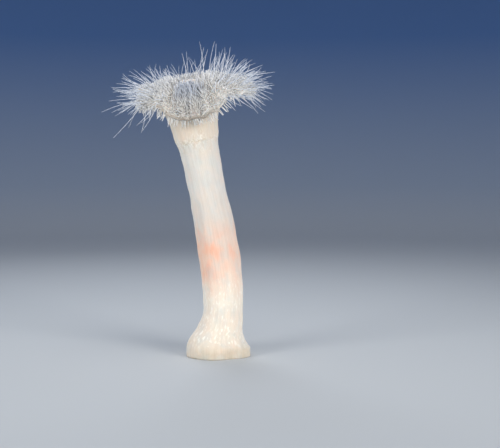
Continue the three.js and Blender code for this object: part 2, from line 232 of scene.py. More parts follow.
@lru_cache(maxsize=None)
def crown_section(angle):
    """What crown_upper, crown_under and crown_margin need of the crown's section at an angle."""
    shape = lobe_shape(math.degrees(angle))
    reach, bend = shape.reach, math.radians(shape.droop)
    bend = math.copysign(max(abs(bend), LEAST_BEND), bend)
    margin = Vector((math.sin(bend), math.cos(bend) - 1)) * reach / bend
    along = Vector((math.cos(bend), -math.sin(bend)))
    inward = Vector((-math.sin(bend), -math.cos(bend)))
    lip_edge = margin + inward * LIP
    under = (
        Vector((COLLAR_RADIUS, COLLAR_TOP)),
        Vector((COLLAR_RADIUS + UNDER_FLARE, COLLAR_TOP + shape.rise)),
        lip_edge - along * UNDER_ALONG * reach + inward * UNDER_FULL,
        lip_edge,
    )
    return reach, bend, margin, along, inward, under


def crown_upper(angle, t):
    """A point of the oral disc."""
    reach, bend = crown_section(angle)[:2]
    out, up = math.sin(bend * t) / bend, (math.cos(bend * t) - 1) / bend
    return crown_to_world(reach * out, reach * up, angle)


def crown_under(angle, t):
    """A point of the flesh that runs from the column's top up under the disc."""
    under = crown_section(angle)[5]
    place = on_curve(under, ((t - DISC_EDGE) / (1 - DISC_EDGE)) ** UNDER_EASE)
    return crown_to_world(place.x, place.y, angle)


def crown_margin(angle, turn):
    """A point round the margin's edge: turn 0 is its under side, and 1 its upper side."""
    _, _, margin, along, inward, _ = crown_section(angle)
    middle = margin + inward * (LIP / 2)
    way = along * math.sin(math.pi * turn) + inward * math.cos(math.pi * turn)
    place = middle + way * (LIP / 2)
    return crown_to_world(place.x, place.y, angle)


def disc_frame(angle, t):
    """Where a tentacle stands: the place, the way out, the way round, and up from the disc."""
    out = (crown_upper(angle, t + NEARBY) - crown_upper(angle, t - NEARBY)).normalized()
    around = (crown_upper(angle + NEARBY, t) - crown_upper(angle - NEARBY, t)).normalized()
    return crown_upper(angle, t), out, around, out.cross(around).normalized()


# ---------------------------------------------------------------- helpers for pieces


def srgb(code):
    """The linear colour of a six-digit sRGB hex code."""

    def linear(c):
        return c / 12.92 if c <= 0.04045 else ((c + 0.055) / 1.055) ** 2.4

    return *(linear(int(code[i : i + 2], 16) / 255) for i in (0, 2, 4)), 1.0


def add(tree, kind, inputs=None, stops=None, **settings):
    """Adds a node.  inputs maps a socket's name or number to a value or to a socket to link, stops
    are a ramp's places and colours, and settings are the node's own properties."""
    node = tree.nodes.new("ShaderNode" + kind)
    for name, value in settings.items():
        setattr(node, name, value)
    for name, value in (inputs or {}).items():
        if isinstance(value, bpy.types.NodeSocket):
            tree.links.new(value, node.inputs[name])
        else:
            node.inputs[name].default_value = value
    for i, (place, colour) in enumerate(stops or []):
        fitted = node.color_ramp.elements
        stop = fitted[i] if i < len(fitted) else fitted.new(place)
        stop.position, stop.color = place, colour
    return node


MIX_A, MIX_B, MIX_RESULT = 6, 7, 2  # a colour Mix node's sockets


def new_material(name):
    material = bpy.data.materials.new(name)
    material.use_nodes = True
    material.node_tree.nodes.clear()
    return material, material.node_tree


def finished(material, surface):
    """Ends a material with its surface's settings and links."""
    shader = add(material.node_tree, "BsdfPrincipled", surface)
    add(material.node_tree, "OutputMaterial", {"Surface": shader.outputs["BSDF"]})
    return material


def spun(points, steps):
    """A bmesh of the line through points, spun a full turn about the upright axis."""
    bm = bmesh.new()
    line = [bm.verts.new(point) for point in points]
    edges = [bm.edges.new(pair) for pair in zip(line, line[1:])]
    bmesh.ops.spin(
        bm,
        geom=line + edges,
        cent=(0, 0, 0),
        axis=(0, 0, 1),
        angle=FULL_TURN,
        steps=steps,
        use_merge=True,
    )
    return bm


def new_piece(name, bm, material):
    """Makes an object of a bmesh in millimetres, smooth shaded."""
    bmesh.ops.scale(bm, vec=(TO_METRES,) * 3, verts=bm.verts)
    for face in bm.faces:
        face.smooth = True
    mesh = bpy.data.meshes.new(name)
    bm.to_mesh(mesh)
    bm.free()
    mesh.materials.append(material)
    piece = bpy.data.objects.new(name, mesh)
    bpy.context.scene.collection.objects.link(piece)
    return piece


# ---------------------------------------------------------------- the skin

MESENTERIES = 48  # the body walls' inner partitions, which show as fine lines
SKIN_AROUND = 6 * MESENTERIES
WRINKLED = (7.6, 10.2)  # the stations over which fine level wrinkles grow
WRINKLES_END = (10.1, 10.4)  # and those over which they fade, below the collar
# The grooves over the mesenteries wander from even spacing in waves: the size of each, how many
# go round, its turn, and how much it turns for each millimetre along.
GROOVE_WAVES = [(0.9, 3, 1, 0), (0.6, 5, 0, 0.03)]
# The relief of the skin: a grain's size, round the skin and along it where the two differ, and
# how far it stands out.  A pair of heights is for the upper column and for the foot.
LUMP, LUMP_HEIGHT = 8, 0.4
CRUMPLE, CRUMPLE_HEIGHT = 1.7, (0.05, 0.14)
FOLD, FOLD_HEIGHT = (4.5, 9), 0.35
WRINKLE, WRINKLE_HEIGHT = (9, 0.75), 0.12
RIDGE_HEIGHT = (0.03, 0.07)
RIDGE_MIDDLE = 0.6  # of mesentery_ridge: at this the skin neither stands out nor sinks in
FOLDED = (0.3, 2.2)  # the stations between which the foot's folds fade
LOW = (2, 5)  # the stations between which the foot's heights give way to the upper column's
COLLAR_RING = (10.62, 0.2, 0.25)  # station, width and height of the collar's crumpled ring
CROWN_RIDGE, CROWN_LUMP, MARGIN_CRUMPLE = 0.12, 0.25, 0.12  # heights under the crown
DISC_RIDGE, DISC_LUMP, DISC_CRUMPLE = 0.22, 0.25, 0.1  # and on the disc
DISC_RIDGES_FROM = (MOUTH_EDGE, 0.3)  # t between which the disc's ridges rise out of the lips


def steps(low, high, count):
    return [mix(low, high, i / count) for i in range(count)]


# The rows lie closest on the foot and on the wrinkles.
COLUMN_ROWS = (
    steps(0, 2, 24)
    + steps(2, WRINKLED[0], 66)
    + steps(*WRINKLED, 64)
    + steps(WRINKLED[1], COLLAR_STATION, 22)
)
# The rows of the skin in order: the sole, the column, the flesh under the disc, the margin's
# edge, and the disc from the margin in to the mouth.
SKIN_ROWS = (
    [("sole", part) for part in steps(0, 1, 9)]
    + [("column", station) for station in COLUMN_ROWS]
    + [("under", t) for t in steps(DISC_EDGE, 1, 34)]
    + [("margin", turn) for turn in steps(0, 1, 6)]
    + [("disc", t) for t in steps(1, 0, 42)]
    + [("disc", 0.0)]
)


def skin_point(row, angle):
    kind, value = SKIN_ROWS[row]
    if kind == "sole":
        return column_point(0, angle, value)
    if kind == "column":
        return column_point(value, angle)
    if kind == "under":
        return crown_under(angle, value)
    if kind == "margin":
        return crown_margin(angle, value)
    return crown_upper(angle, value)


SIDE_ANGLE = math.radians(180)  # where the skin's length is measured
row_places = [0.0]
for row in range(1, len(SKIN_ROWS)):
    step = (skin_point(row, SIDE_ANGLE) - skin_point(row - 1, SIDE_ANGLE)).length
    row_places.append(row_places[-1] + step)
SKIN_LENGTH = row_places[-1]


def place_of(kind, value):
    """How far along the skin, as a part of its length, a row of that kind and value lies."""
    rows = [row for row, (row_kind, _) in enumerate(SKIN_ROWS) if row_kind == kind]
    nearest = min(rows, key=lambda row: abs(SKIN_ROWS[row][1] - value))
    return row_places[nearest] / SKIN_LENGTH


def mesentery_ridge(angle, along):
    """0 in the groove over a mesentery, 1 on the bulge between two."""
    wander = sum(
        size * math.sin(count * angle + turn + twist * along)
        for size, count, turn, twist in GROOVE_WAVES
    )
    return abs(math.sin((MESENTERIES * angle + wander) / 2))


def stretched_noise(straight, width, height):
    """Noise whose grain differs round the skin and along it."""
    return noise.noise(Vector((straight.x / width, straight.y / width, straight.z / height)))


def relief(row, angle, straight):
    """How far the skin stands out of its plain form."""
    kind, value = SKIN_ROWS[row]
    ridge = mesentery_ridge(angle, straight.z) - RIDGE_MIDDLE
    lump = noise.noise(straight / LUMP)
    crumple = noise.noise(straight / CRUMPLE)
    if kind == "sole":
        return 0.0
    if kind == "column":
        folded = 1 - smooth(value, *FOLDED)
        low = 1 - smooth(value, *LOW)
        wrinkled = smooth(value, *WRINKLED) * (1 - smooth(value, *WRINKLES_END))
        collar, collar_width, collar_height = COLLAR_RING
        return (
            ridge * mix(*RIDGE_HEIGHT, low)
            + lump * LUMP_HEIGHT
            + crumple * mix(*CRUMPLE_HEIGHT, low)
            + stretched_noise(straight, *FOLD) * FOLD_HEIGHT * folded
            + wrinkled * WRINKLE_HEIGHT * stretched_noise(straight, *WRINKLE)
            + bell(value, collar, collar_width) * collar_height * crumple
        )
    if kind == "under":
        return CROWN_RIDGE * ridge + CROWN_LUMP * lump * (1 - value)
    if kind == "margin":
        return MARGIN_CRUMPLE * crumple
    ridged = smooth(value, *DISC_RIDGES_FROM)
    return DISC_RIDGE * ridge * ridged + DISC_LUMP * lump + DISC_CRUMPLE * crumple


def make_skin(material):
    """A line of vertices, one for each row, is spun into a tube.  Each vertex is then moved to its
    place on the animal, and the relief raises it along its normal.  The attribute straight keeps
    its place on a plain tube, in millimetres, so that every pattern follows the skin."""
    bm = spun([(1, 0, row) for row in range(len(SKIN_ROWS))], SKIN_AROUND)
    bake_map = bm.loops.layers.uv.new("OFBake")
    for face in bm.faces:
        middle = face.calc_center_median()
        facing = math.atan2(middle.y, middle.x)
        for loop in face.loops:
            turn = math.atan2(loop.vert.co.y, loop.vert.co.x)
            turn = facing + (turn - facing + math.pi) % FULL_TURN - math.pi
            row = round(loop.vert.co.z)
            loop[bake_map].uv = (0.5 + turn / FULL_TURN, row_places[row] / SKIN_LENGTH)

    straight_layer = bm.verts.layers.float_vector.new("straight")
    places = {}
    for vert in bm.verts:
        row = round(vert.co.z)
        number = round(math.atan2(vert.co.y, vert.co.x) / FULL_TURN * SKIN_AROUND)
        angle = number * FULL_TURN / SKIN_AROUND
        straight = Vector((math.cos(angle), math.sin(angle), 0)) * COLLAR_RADIUS
        straight.z = row_places[row]
        vert[straight_layer] = straight
        places[vert] = row, angle, straight
        vert.co = skin_point(row, angle)
    bmesh.ops.recalc_face_normals(bm, faces=bm.faces)
    bm.normal_update()
    raised = {vert: vert.co + vert.normal * relief(*place) for vert, place in places.items()}
    for vert, point in raised.items():
        vert.co = point.x, point.y, max(point.z, 0)
    bmesh.ops.remove_doubles(bm, verts=bm.verts, dist=WELD)
    bmesh.ops.recalc_face_normals(bm, faces=bm.faces)
    return new_piece("skin", bm, material)


# ---------------------------------------------------------------- the lips

LIP_AROUND = 144
PLEATS = 24
PLEAT_SIZES = (0.75, 1.25)  # the smallest and the largest, as parts of a plain one
PLEATED = (0.11, 0.05)  # t where the pleats stand highest, and how far they reach from there
PLEAT_WIDER, PLEAT_HEIGHT = 0.12, 0.6  # how far a pleat stands out, as a part of t, and up
# A smooth gutter runs down at each end of the slit.
GUTTER_DEPTH = 0.4
GUTTER_SHARPNESS = 12  # the higher, the narrower the gutter
# The lips' section from outside the ring in to the throat: t, height, and how far the plan has
# gone from round to a slit.
LIP_SECTION = [
    (0.185, -1.0, 0.0),
    (0.178, -0.1, 0.0),
    (0.168, 0.25, 0.0),
    (0.15, 0.55, 0.1),
    (0.125, 0.75, 0.25),
    (0.098, 0.8, 0.42),
    (0.072, 0.6, 0.6),
    (0.054, 0.2, 0.75),
    (0.04, -0.5, 0.85),
    (0.03, -1.4, 0.9),
    (0.0, -2.2, 0.9),
]
SLIT = 0.28  # the mouth's width as a part of its length


def make_lips(material):
    """A ring of pleated flesh round a slit, closed by a shallow throat."""
    bm = spun([(1, 0, row) for row in range(len(LIP_SECTION))], LIP_AROUND)
    depth_layer = bm.verts.layers.float.new("depth")
    sizes = [draw.uniform(*PLEAT_SIZES) for _ in range(PLEATS)]
    for vert in bm.verts:
        row = round(vert.co.z)
        t, height, slit = LIP_SECTION[row]
        angle = math.atan2(vert.co.y, vert.co.x)
        pleat = sizes[int((angle % FULL_TURN) / FULL_TURN * PLEATS) % PLEATS]
        gutter = abs(math.cos(angle)) ** GUTTER_SHARPNESS
        ridge = (abs(math.sin(PLEATS * angle / 2)) - 0.5) * pleat * (1 - gutter)
        standing = bell(t, *PLEATED)
        t *= 1 + PLEAT_WIDER * ridge * standing
        height += PLEAT_HEIGHT * ridge * standing - GUTTER_DEPTH * gutter * standing
        x, y = t * math.cos(angle), t * math.sin(angle) * mix(1, SLIT, slit)
        reach = lobe_shape(math.degrees(angle)).reach
        vert[depth_layer] = row / (len(LIP_SECTION) - 1)
        vert.co = crown_to_world(reach * math.hypot(x, y), height, math.atan2(y, x))
    bmesh.ops.remove_doubles(bm, verts=bm.verts, dist=WELD)
    bmesh.ops.holes_fill(bm, edges=bm.edges, sides=0)
    bmesh.ops.recalc_face_normals(bm, faces=bm.faces)
    return new_piece("lips", bm, material)


# ---------------------------------------------------------------- the tentacles

FIRST_ROW = 0.3  # t of the innermost tentacles
OUTERMOST = 0.985  # t of the last roots, just inside the margin
SPACING = 0.7  # between two tentacles of a row, and between two rows
ROW_JITTER, PLACE_JITTER = 0.4, 0.35  # parts of it by which they stand off their row and place
OUTWARD = (0.3, 0.75)  # t between which the inner sizes give way to those at the margin
LONG = (0.6, 0.96)  # the long ones' lengths, as parts of the lobe's length
SHORT = (0.6, 1.5)
AT_MARGIN = 0.6  # the short ones' length at the margin, as a part of their length further in
GIRTH = (1.0, 0.76)  # of a short one and of a long one
GIRTH_SPREAD = (0.85, 1.15)
WAVE = (0.5, 1.25)  # how much a short one and a long one sway
# How clear they look: the long ones, then the short ones near the mouth of a lobe that spreads
# and of one that hangs, t between which the short ones lose that, and the spread.
CLEAR_LONG = 0.85
CLEAR_SHORT = (0.12, 0.72)
CLEAR_UNTIL = (0.45, 0.85)
CLEAR_SPREAD = 0.15
UNEVEN = (10, 22)  # degrees that a tentacle may lie off its row, near the mouth and at the margin
UNEVEN_FROM = 0.8  # t from which it grows
NEAT = 0.4  # the part of that on a lobe that hangs
ROOT_DEPTH = 0.7  # how deep a root sits in the disc
# How far the aim, the sway and the hook at the tip may go, out and aside, as parts of the length.
AIM_ASIDE = (-0.14, 0.14)
SWAY_OUT, SWAY_ASIDE = (-0.12, 0.22), (-0.2, 0.2)
HOOK_OUT, HOOK_ASIDE = (-0.14, 0.14), (-0.16, 0.16)
# The two inner points that lead a tentacle's curve lie at these parts of its length, and the
# second one has this part of the sway.
LEAD_AT, BENT_AT, BENT_SWAY = 0.33, 0.7, 0.4
# Neighbours lean alike, so that the crown parts into loose locks.  Each axis has noise of its own.
LEAN = 0.18
LOCK_WIDTH = 5
LEAN_OFFSETS = (Vector((0, 0, 0)), Vector((31, 7, 3)), Vector((5, 43, 17)))
# The angle between a tentacle and the upright disc, at t, for a lobe that spreads and for one
# that hangs.
SPREAD_LAY = [(0.36, 4), (0.68, 26), (0.84, 46), (0.96, 68), (1.0, 92)]
HUNG_LAY = [(0.45, 0), (0.65, -24), (0.8, -20), (0.92, 2), (0.97, 20), (1.0, 90)]
HUNG_DROOP = (45, 75)  # the droop from which a lobe counts as hanging, and wholly so
# The comb of white tentacles that hangs from the margin: the lay and length of its rows.  Above
# it the margin of a lobe that hangs is bare.
COMB = [(124, 4.4), (140, 5.2)]
COMB_SPACING = 1.15
COMB_GIRTH = 1.25
COMB_GIRTH_SPREAD = (0.85, 1.1)
COMB_LENGTH_SPREAD = (0.75, 1.2)
COMB_UNEVEN = 9  # degrees
# Some of the comb trails: the share, how many times longer it is, by how many degrees it is
# lifted and how clear it looks.
TRAILING, TRAILING_LENGTH, TRAILING_LIFT, TRAILING_CLEAR = 0.2, 2.15, 20, 0.7
BARE_FROM = 0.945

# A tentacle's rings from root to tip: the place along it and the radius.
TENTACLE_RINGS = [
    (0, 0.35),
    (0.12, 0.28),
    (0.3, 0.24),
    (0.5, 0.205),
    (0.7, 0.17),
    (0.87, 0.135),
    (0.97, 0.095),
    (1, 0.04),
]
TENTACLE_SIDES = 5
DISC_ON_MAP = 0.48  # the disc's radius on the bake map, on which it lies flat
BAKE_PATCH = 0.003  # a tentacle's patch of that map, at its root's place


def tentacle_template():
    """A prism with a ring for each of TENTACLE_RINGS, its height from 0 to 1."""
    bm = bmesh.new()
    bm.loops.layers.uv.new("OFBake")
    bm.verts.layers.float.new("reach")
    bm.verts.layers.float.new("tint")
    bm.verts.layers.float.new("clear")
    bmesh.ops.create_cone(
        bm,
        cap_ends=True,
        segments=TENTACLE_SIDES,
        radius1=1,
        radius2=1,
        depth=1,
        calc_uvs=True,
    )
    sides = [edge for edge in bm.edges if abs(edge.verts[0].co.z - edge.verts[1].co.z) > 0.5]
    bmesh.ops.subdivide_edges(bm, edges=sides, cuts=len(TENTACLE_RINGS) - 2, use_grid_fill=True)
    bmesh.ops.translate(bm, vec=(0, 0, 0.5), verts=bm.verts)
    mesh = bpy.data.meshes.new("tentacle")
    bm.to_mesh(mesh)
    bm.free()
    return mesh


def along_list(points, x):
    """The value at x of a line through points."""
    for (start, low), (end, high) in zip(points, points[1:]):
        if x <= end:
            return mix(low, high, max(x - start, 0) / (end - start))
    return points[-1][1]


def hanging(shape):
    """0 where the crown spreads, 1 where it hangs."""
    return smooth(shape.droop, *HUNG_DROOP)


def tentacle_length(shape, t):
    """A tentacle's length, and 1 if it is a long one.  Most stay short."""
    outward = smooth(t, *OUTWARD)
    if draw.random() < mix(shape.few, shape.many, outward):
        return mix(shape.inner, shape.outer, outward) * draw.uniform(*LONG), 1
    return shape.short * mix(1, AT_MARGIN, outward) * draw.uniform(*SHORT), 0


def tentacle_lay(shape, t):
    """The angle in degrees between a tentacle and the upright disc."""
    hung = hanging(shape)
    lay = mix(along_list(SPREAD_LAY, t), along_list(HUNG_LAY, t), hung)
    uneven = mix(*UNEVEN, smooth(t, UNEVEN_FROM, 1)) * mix(1, NEAT, hung)
    return lay + draw.uniform(-uneven, uneven)


def tentacle_curve(angle, t, lay, length, wave):
    """The four points that lead a tentacle's curve, and a direction across it."""
    origin, out, around, up = disc_frame(angle, min(t, OUTERMOST))
    lay = math.radians(lay)
    spot = origin / LOCK_WIDTH
    lean = Vector([noise.noise(spot + offset) for offset in LEAN_OFFSETS]) * LEAN
    aim = up * math.cos(lay) + out * math.sin(lay) + around * draw.uniform(*AIM_ASIDE) + lean
    aim.normalize()
    sway = (out * draw.uniform(*SWAY_OUT) + around * draw.uniform(*SWAY_ASIDE)) * wave
    hook = (out * draw.uniform(*HOOK_OUT) + around * draw.uniform(*HOOK_ASIDE)) * wave
    root = origin - up * (ROOT_DEPTH * math.cos(lay) + LIP / 2 * math.sin(lay))
    root -= out * ROOT_DEPTH * math.sin(lay)
    length += ROOT_DEPTH
    lead = root + aim * length * LEAD_AT
    bent = root + (aim + sway * BENT_SWAY) * length * BENT_AT
    tip = root + (aim + sway + hook) * length
    return (root, lead, bent, tip), around


def ahead_on_curve(points, w):
    a, b, c, d = points
    v = 1 - w
    return ((b - a) * v * v + (c - b) * 2 * v * w + (d - c) * w * w).normalized()


def lobe_span(name):
    """The angles of the two folds that bound a lobe."""
    middle = LOBES[name].angle
    turns = [turn_between(fold[0], middle) for fold in FOLDS]
    start = max(turn for turn in turns if turn < 0)
    end = min(turn for turn in turns if turn > 0)
    return math.radians(middle + start), math.radians(middle + end)


def set_tentacle(bm, template, place, curve, girth, clear):
    """Adds the template to bm, bent along a curve.  place is its root's angle and t.  Its
    attributes are reach, from root to tip, tint, a shade of its own, and clear."""
    angle, t = place
    points, around = curve
    tint = draw.random()
    rings = []
    for along, thick in TENTACLE_RINGS:
        middle, ahead = on_curve(points, along), ahead_on_curve(points, along)
        across = (around - ahead * ahead.dot(around)).normalized() * thick * girth
        rings.append((along, middle, across, ahead.cross(across)))
    bm.from_mesh(template)
    bm.verts.ensure_lookup_table()
    bm.faces.ensure_lookup_table()
    reach_layer = bm.verts.layers.float["reach"]
    tint_layer = bm.verts.layers.float["tint"]
    clear_layer = bm.verts.layers.float["clear"]
    bake_map = bm.loops.layers.uv["OFBake"]
    for vert in bm.verts[-len(template.vertices) :]:
        along, middle, across, aside = rings[round(vert.co.z * (len(rings) - 1))]
        vert[reach_layer] = along
        vert[tint_layer] = tint
        vert[clear_layer] = clear
        vert.co = middle + across * vert.co.x + aside * vert.co.y
    centre = Vector((0.5, 0.5))
    patch = centre + Vector((math.cos(angle), math.sin(angle))) * DISC_ON_MAP * t
    for face in bm.faces[-len(template.polygons) :]:
        for loop in face.loops:
            loop[bake_map].uv = patch + (loop[bake_map].uv - centre) * BAKE_PATCH


def row_angles(start, end, density):
    """The angles of a row of tentacles, a little uneven.  density is their number in a radian."""
    count = max(1, round((end - start) * density))
    shift = draw.random()
    places = [i + shift + draw.uniform(-PLACE_JITTER, PLACE_JITTER) for i in range(count)]
    return [mix(start, end, place / count) for place in places]


def make_tentacles(name, template, material):
    """All tentacles of one lobe: the template set along each tentacle's curve."""
    bm = bmesh.new()
    start, end = lobe_span(name)
    reach = LOBES[name].reach
    rows = math.ceil((1 - FIRST_ROW) * reach / SPACING)
    for row in range(rows + 1):
        for angle in row_angles(start, end, reach * mix(FIRST_ROW, 1, row / rows) / SPACING):
            t = mix(FIRST_ROW, 1, (row + draw.uniform(-ROW_JITTER, ROW_JITTER)) / rows)
            shape = lobe_shape(math.degrees(angle))
            if t > BARE_FROM and shape.droop > HUNG_DROOP[0]:
                continue
            length, is_long = tentacle_length(shape, t)
            curve = tentacle_curve(angle, t, tentacle_lay(shape, t), length, WAVE[is_long])
            inner = 1 - smooth(t, *CLEAR_UNTIL)
            clear = max(CLEAR_LONG * is_long, mix(*CLEAR_SHORT, hanging(shape)) * inner)
            clear += draw.uniform(-CLEAR_SPREAD, CLEAR_SPREAD)
            girth = GIRTH[is_long] * draw.uniform(*GIRTH_SPREAD)
            set_tentacle(bm, template, (angle, t), curve, girth, clear)
    for lay, length in COMB:
        for angle in row_angles(start, end, reach / COMB_SPACING):
            spreads = 1 - hanging(lobe_shape(math.degrees(angle)))
            trails = int(draw.random() < TRAILING * spreads)
            longer = TRAILING_LENGTH if trails else 1
            grown = length * draw.uniform(*COMB_LENGTH_SPREAD) * longer
            turn = lay - TRAILING_LIFT * trails + draw.uniform(-COMB_UNEVEN, COMB_UNEVEN)
            curve = tentacle_curve(angle, 1, turn, grown, WAVE[trails])
            girth = (GIRTH[1] if trails else COMB_GIRTH) * draw.uniform(*COMB_GIRTH_SPREAD)
            set_tentacle(bm, template, (angle, 1), curve, girth, TRAILING_CLEAR * trails)
    return new_piece(f"{name}_tentacles", bm, material)


# ---------------------------------------------------------------- finishes

FLESH_IOR = 1.36  # a little above that of sea water, which fills it


def body_flesh():
    """Living anemone flesh, mesogloea under a thin wet skin: milky like egg white, so light goes a
    few millimetres in and the inner partitions show as fine lines down the column."""
    material, tree = new_material("milky_flesh")
    straight = add(tree, "Attribute", attribute_name="straight").outputs["Vector"]
    across, ahead, along = add(tree, "SeparateXYZ", {0: straight}).outputs

    def grain(scales, offset, detail=2.0, roughness=0.5):
        """Noise.  The scales are its grains to a millimetre, round the skin and along it."""
        around, lengthwise = scales
        moved = add(tree, "VectorMath", {0: straight, 1: offset}, operation="ADD").outputs[0]
        inputs = {0: moved, 1: (around, around, lengthwise)}
        scaled = add(tree, "VectorMath", inputs, operation="MULTIPLY").outputs[0]
        inputs = {"Vector": scaled, "Scale": 1.0, "Detail": detail, "Roughness": roughness}
        return add(tree, "TexNoise", inputs).outputs["Fac"]

    def pattern(scales, offset, ends, detail=2.0, span=(0.0, 1.0)):
        """The same noise, eased over span while it goes from the first of ends to the second."""
        inputs = {
            "Value": grain(scales, offset, detail),
            "From Min": ends[0],
            "From Max": ends[1],
            "To Min": span[0],
            "To Max": span[1],
        }
        return add(tree, "MapRange", inputs, interpolation_type="SMOOTHSTEP").outputs[0]

    # The zones wander by a few millimetres, so that none ends on a level line.
    drift = pattern((0.11, 0.07), (3, 8, 1), (0.25, 0.75), span=(-4.0, 4.0))
    drifting = add(tree, "Math", {0: along, 1: drift}, operation="ADD").outputs[0]

    def zones(*stops, by=drifting):
        """Colours along the skin.  A stop is a kind of row, its value and the colour there."""
        part = add(tree, "Math", {0: by, 1: 1 / SKIN_LENGTH}, operation="MULTIPLY").outputs[0]
        places = [(place_of(kind, value), srgb(code)) for kind, value, code in stops]
        return add(tree, "ValToRGB", {"Fac": part}, stops=places).outputs["Color"]

    def layer(below, code, *amounts, way="MIX"):
        """Lays a colour on another, as strongly as all the amounts multiplied say."""
        strength = amounts[0]
        for amount in amounts[1:]:
            inputs = {0: strength, 1: amount}
            strength = add(tree, "Math", inputs, operation="MULTIPLY").outputs[0]
        inputs = {0: strength, MIX_A: below, MIX_B: srgb(code)}
        mixed = add(tree, "Mix", inputs, data_type="RGBA", blend_type=way)
        return mixed.outputs[MIX_RESULT]

    colour = zones(
        ("sole", 0.0, "d9cbb6"),
        ("column", 0.2, "d0c6b4"),
        ("column", 1.6, "e5ddcf"),
        ("column", 4.0, "eee7da"),
        ("column", 5.4, "e8dacc"),
        ("column", 7.0, "d8d1c9"),
        ("column", 8.6, "dddcd7"),
        ("column", 10.4, "e0ddd4"),
        ("under", 0.3, "e2dacc"),
        # painted shade: the flesh just under the margin's edge is darker, as the shade beneath the
        # crown's overhang and its comb
        ("under", 0.9, "bdb2a3"),
        ("margin", 0.5, "d6d1c8"),
        ("disc", 0.95, "e4e1dc"),
        ("disc", 0.45, "e8e5e0"),
        ("disc", 0.3, "e8e0d6"),
        ("disc", 0.1, "ece3d8"),
    )

    # A blush round the middle of the column, in patches of 5 by 7 mm, and strongest on the left.
    blush = zones(
        ("sole", 0.0, "000000"),
        ("column", 4.2, "000000"),
        ("column", 5.1, "c0c0c0"),
        ("column", 6.2, "ffffff"),
        ("column", 7.0, "000000"),
    )
    inputs = {
        "Value": across,
        "From Min": -COLLAR_RADIUS,
        "From Max": COLLAR_RADIUS,
        "To Min": 1.0,
        "To Max": 0.55,
    }
    leftward = add(tree, "MapRange", inputs, interpolation_type="SMOOTHSTEP").outputs[0]
    patches = pattern((0.2, 0.14), (9, 0, 3), (0.3, 0.7), detail=4.0, span=(0.5, 1.0))
    colour = layer(colour, "f3b596", blush, leftward, patches)

    # Uneven clouds, warmer ones of 6 by 8 mm and cooler ones of 4.5 by 8 mm.
    clouds = pattern((0.16, 0.12), (0, 0, 40), (0.35, 0.65), detail=3.0)
    outside = zones(
        ("sole", 0.0, "909090"),
        ("under", 0.9, "909090"),
        ("margin", 0.5, "202020"),
    )
    colour = layer(colour, "efdcca", clouds, outside)
    cool = pattern((0.22, 0.12), (20, 5, 0), (0.45, 0.7), detail=3.0)
    colour = layer(colour, "ccd3d2", cool, 0.35)

    # Where the crown hangs over in front, its bare rim is painted darker than the tentacles round
    # it, as a thin line of shade.
    rim_shade = zones(
        ("under", 0.93, "000000"),
        ("margin", 0.2, "d0d0d0"),
        ("disc", 0.99, "ffffff"),
        ("disc", 0.95, "000000"),
        by=along,
    )
    inputs = {
        "Value": ahead,
        "From Min": -COLLAR_RADIUS,
        "From Max": -0.6 * COLLAR_RADIUS,
        "To Min": 1.0,
        "To Max": 0.0,
    }
    in_front = add(tree, "MapRange", inputs, interpolation_type="SMOOTHSTEP").outputs[0]
    colour = layer(colour, "8a8175", rim_shade, in_front)

    # Mesenteries: fine darker lines, 0.8 mm wide and 20 mm or more long, all the way up.
    lines = pattern((1.2, 0.05), (7, 0, 0), (0.44, 0.62), detail=3.0)
    colour = layer(colour, "bfb3a4", lines, 0.1, way="MULTIPLY")

    # Painted highlights on the foot and the lower column: pale dashes of 1 by 2.5 mm.
    low = zones(
        ("sole", 0.0, "303030"),
        ("column", 0.8, "505050"),
        ("column", 1.8, "d0d0d0"),
        ("column", 4.2, "b0b0b0"),
        ("column", 5.4, "303030"),
        ("column", COLLAR_STATION, "1a1a1a"),
        ("disc", 1, "000000"),
    )
    highlight_dashes = pattern((0.95, 0.4), (0, 13, 0), (0.53, 0.66), detail=4.0)
    colour = layer(colour, "fffdf4", highlight_dashes, low)

    # Warts on the collar, 1 mm across, catch the light as pale specks on darker mottles.
    collar = zones(
        ("sole", 0.0, "000000"),
        ("column", 9.6, "000000"),
        ("column", 10.3, "c0c0c0"),
        ("column", 10.9, "a0a0a0"),
        ("under", 0.3, "202020"),
    )
    mottled = pattern((0.5, 0.3), (6, 2, 4), (0.45, 0.62), detail=4.0)
    colour = layer(colour, "c6b69d", mottled, collar)
    specks = pattern((1.2, 0.9), (4, 4, 4), (0.52, 0.62), detail=3.0)
    colour = layer(colour, "fffcf2", specks, collar)

    # The skin itself is finely pitted, at half a millimetre, and sinks in at the lines.
    pits = grain((2.2, 1.6), (1, 2, 3), detail=4.0, roughness=0.6)
    height = add(tree, "Math", {0: pits, 1: lines}, operation="SUBTRACT").outputs[0]
    inputs = {"Strength": 0.3, "Distance": 0.25 * TO_METRES, "Height": height}
    bump = add(tree, "Bump", inputs).outputs["Normal"]
    surface = {
        "Base Color": colour,
        "Roughness": 0.6,
        "Specular IOR Level": 0.3,
        "IOR": FLESH_IOR,
        "Subsurface Weight": 0.85,
        "Subsurface Radius": (1.0, 0.84, 0.74),
        "Subsurface Scale": 3.5 * TO_METRES,
        "Normal": bump,
    }
    return finished(material, surface)


